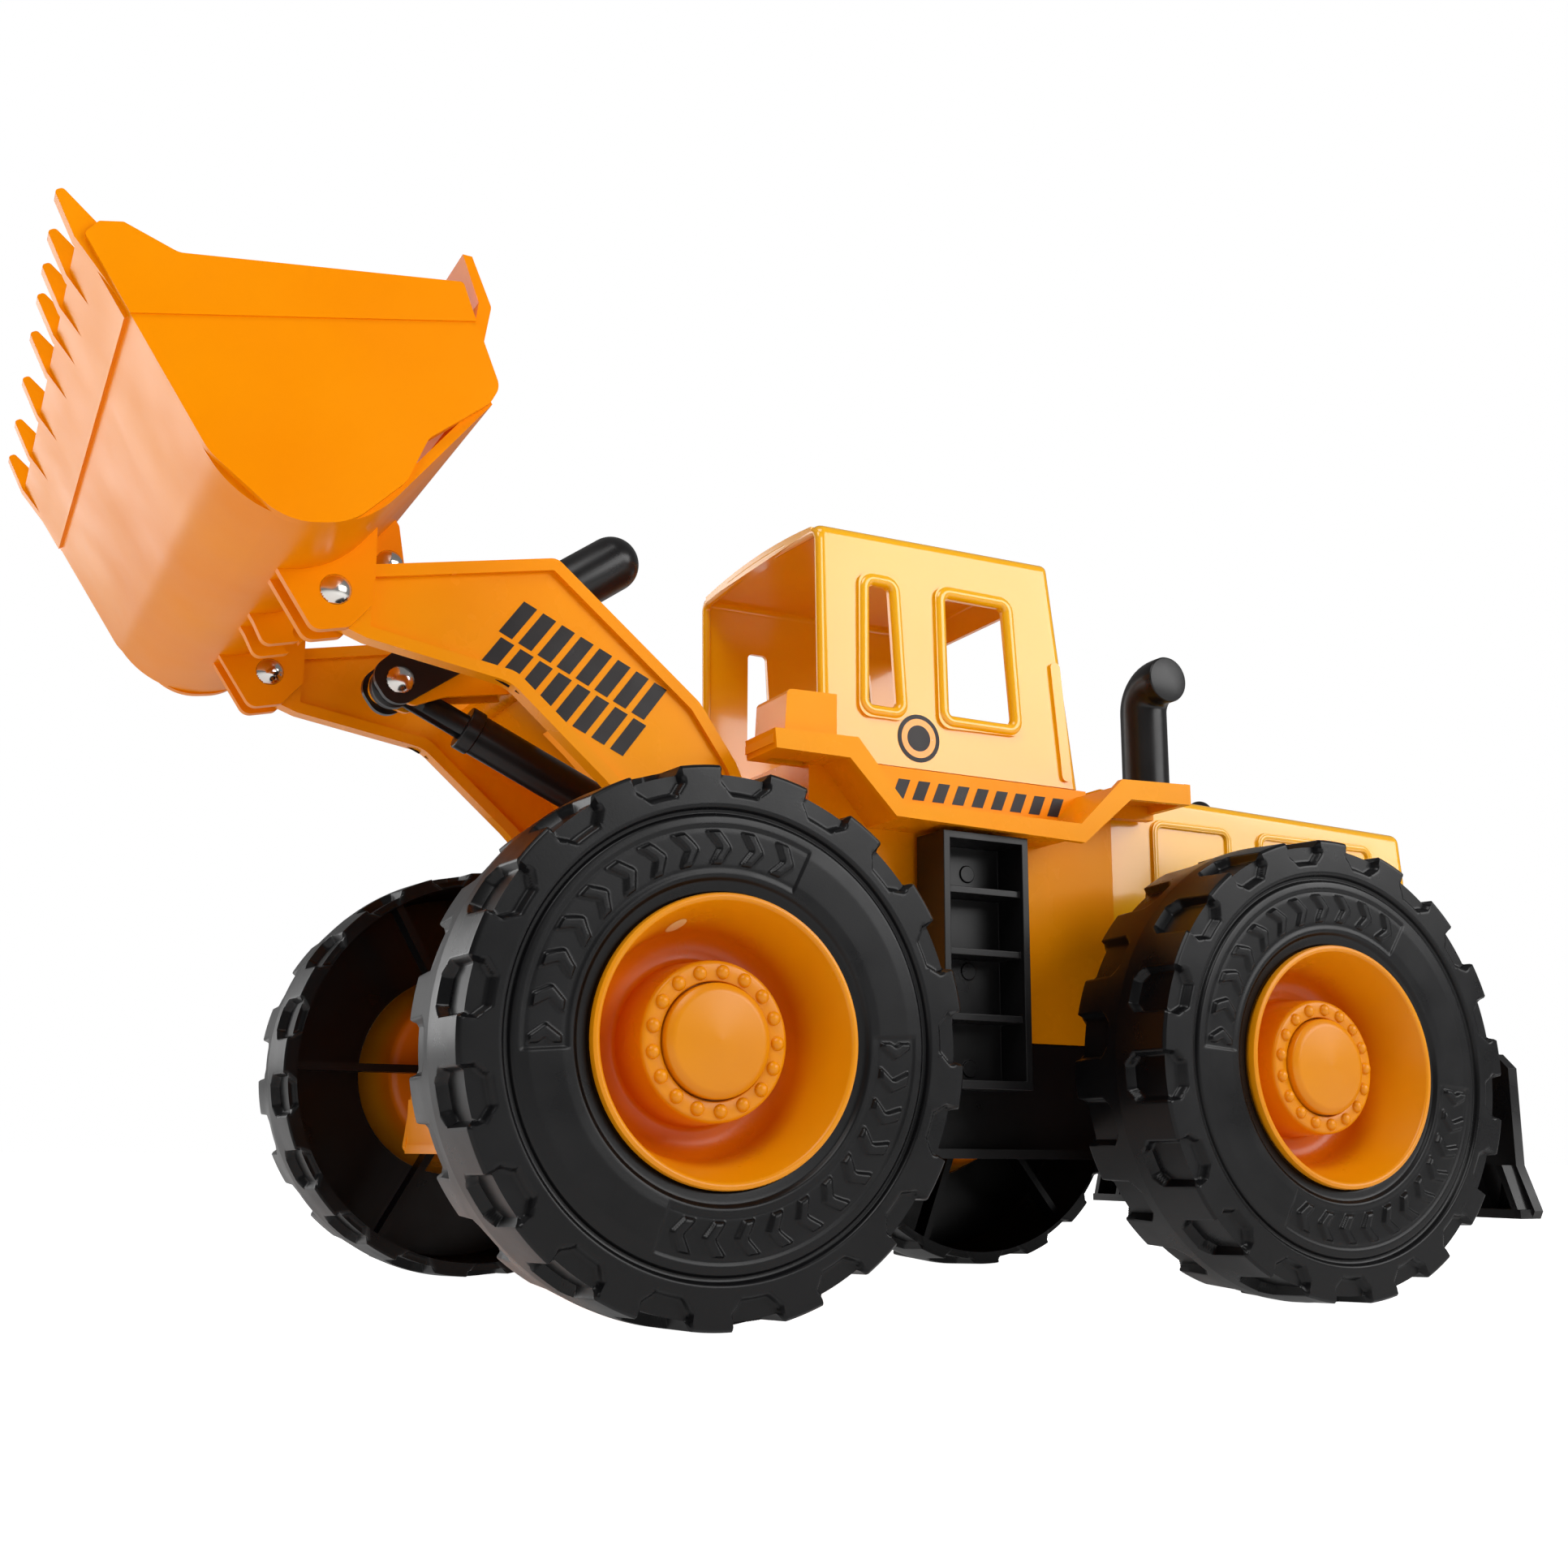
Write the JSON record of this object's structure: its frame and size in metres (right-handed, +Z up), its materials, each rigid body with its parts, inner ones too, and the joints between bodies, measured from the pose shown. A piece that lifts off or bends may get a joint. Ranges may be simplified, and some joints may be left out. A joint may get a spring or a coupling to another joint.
{
  "type": "toy front loader",
  "caption": "Toy wheel loader with free-rolling wheels, lifting arms, a tilting toothed bucket worked by a hand lever, an open cab, a panelled hood and side ladders.",
  "frame": {"origin": "on the ground, below the middle of the overall box, on the centre plane", "axes": "+X forward towards the bucket, +Y to the loader's left, +Z up; wheels turn about +Y"},
  "size_m": [0.4078, 0.1962, 0.2299],
  "materials": {
    "yellow_plastic": "moulded, lightly glossy",
    "yellow_paint": "glossy baked enamel",
    "black_plastic": "satin moulded",
    "black_tyre": "matte moulded vinyl",
    "bright_steel": "nickel plated"
  },
  "bodies": {
    "chassis": {"chassis_frame": "black_plastic", "front_frame": "yellow_plastic", "deck_body": "yellow_plastic", "cab_shell": "yellow_paint", "hood_shell": "yellow_paint", "rear_bumper": "black_plastic", "ladder_left": "black_plastic", "ladder_right": "black_plastic", "exhaust_stack": "black_plastic", "hood_plug": "black_plastic", "front_axle": "bright_steel", "rear_axle": "bright_steel", "axle_nuts": "bright_steel", "body_screws": "bright_steel", "arm_pivot_pin": "bright_steel", "cylinder_base_pin": "bright_steel"},
    "arms": {"arm_frame": "yellow_plastic"},
    "bucket": {"bucket": "yellow_paint", "bucket_rivets": "bright_steel", "link_rivet": "bright_steel"},
    "lever": {"tilt_lever": "black_plastic", "lever_grip": "black_plastic", "lever_rivet": "bright_steel", "link_pin": "bright_steel"},
    "link": {"tilt_link": "black_plastic"},
    "barrel": {"cylinder_barrel": "black_plastic", "cylinder_gland": "black_plastic"},
    "rod": {"cylinder_rod": "black_plastic"},
    "wheel_front_left": {"tyre_front_left": "black_tyre", "rim_front_left": "yellow_plastic", "hub_cap_front_left": "yellow_plastic"},
    "wheel_front_right": {"tyre_front_right": "black_tyre", "rim_front_right": "yellow_plastic", "hub_cap_front_right": "yellow_plastic"},
    "wheel_rear_left": {"tyre_rear_left": "black_tyre", "rim_rear_left": "yellow_plastic", "hub_cap_rear_left": "yellow_plastic"},
    "wheel_rear_right": {"tyre_rear_right": "black_tyre", "rim_rear_right": "yellow_plastic", "hub_cap_rear_right": "yellow_plastic"}
  },
  "joints": [
    {"name": "arm_lift", "type": "hinge", "parent": "chassis", "child": "arms", "pos_m": [0.03292, 0, 0.1015], "axis": [0, 1, 0], "range_deg": [-5, 64]},
    {"name": "bucket_tilt", "type": "hinge", "parent": "arms", "child": "bucket", "pos_m": [0.13712, 0, 0.1585], "axis": [0, 1, 0], "range_deg": [-10, 80]},
    {"name": "lever_tilt", "type": "hinge", "parent": "arms", "child": "lever", "pos_m": [0.11222, 0, 0.15], "axis": [0, 1, 0], "range_deg": [-10.5, 80.5]},
    {"name": "link_swing", "type": "hinge", "parent": "lever", "child": "link", "pos_m": [0.09194, 0, 0.17116], "axis": [0, 1, 0], "range_deg": [-80.5, 10.5]},
    {"name": "cylinder_swing", "type": "hinge", "parent": "chassis", "child": "barrel", "pos_m": [0.03292, 0, 0.1144], "axis": [0, 1, 0], "range_deg": [-5.5, 64.5]},
    {"name": "rod_slide", "type": "slide", "parent": "barrel", "child": "rod", "axis": [0.9123, 0, 0.4094], "range_m": [-0.0015, 0.0145]},
    {"name": "spin_front_left", "type": "hinge", "parent": "chassis", "child": "wheel_front_left", "pos_m": [0.06302, 0, 0.058], "axis": [0, 1, 0], "continuous": true},
    {"name": "spin_front_right", "type": "hinge", "parent": "chassis", "child": "wheel_front_right", "pos_m": [0.06302, 0, 0.058], "axis": [0, 1, 0], "continuous": true},
    {"name": "spin_rear_left", "type": "hinge", "parent": "chassis", "child": "wheel_rear_left", "pos_m": [-0.10738, 0, 0.058], "axis": [0, 1, 0], "continuous": true},
    {"name": "spin_rear_right", "type": "hinge", "parent": "chassis", "child": "wheel_rear_right", "pos_m": [-0.10738, 0, 0.058], "axis": [0, 1, 0], "continuous": true}
  ],
  "couplings": [
    {"joint": "lever_tilt", "follows": "bucket_tilt", "ratio": 1},
    {"joint": "link_swing", "follows": "bucket_tilt", "ratio": -1},
    {"joint": "cylinder_swing", "follows": "arm_lift", "ratio": 0.994},
    {"joint": "rod_slide", "follows": "arm_lift", "m_per_rad": 0.0126}
  ]
}
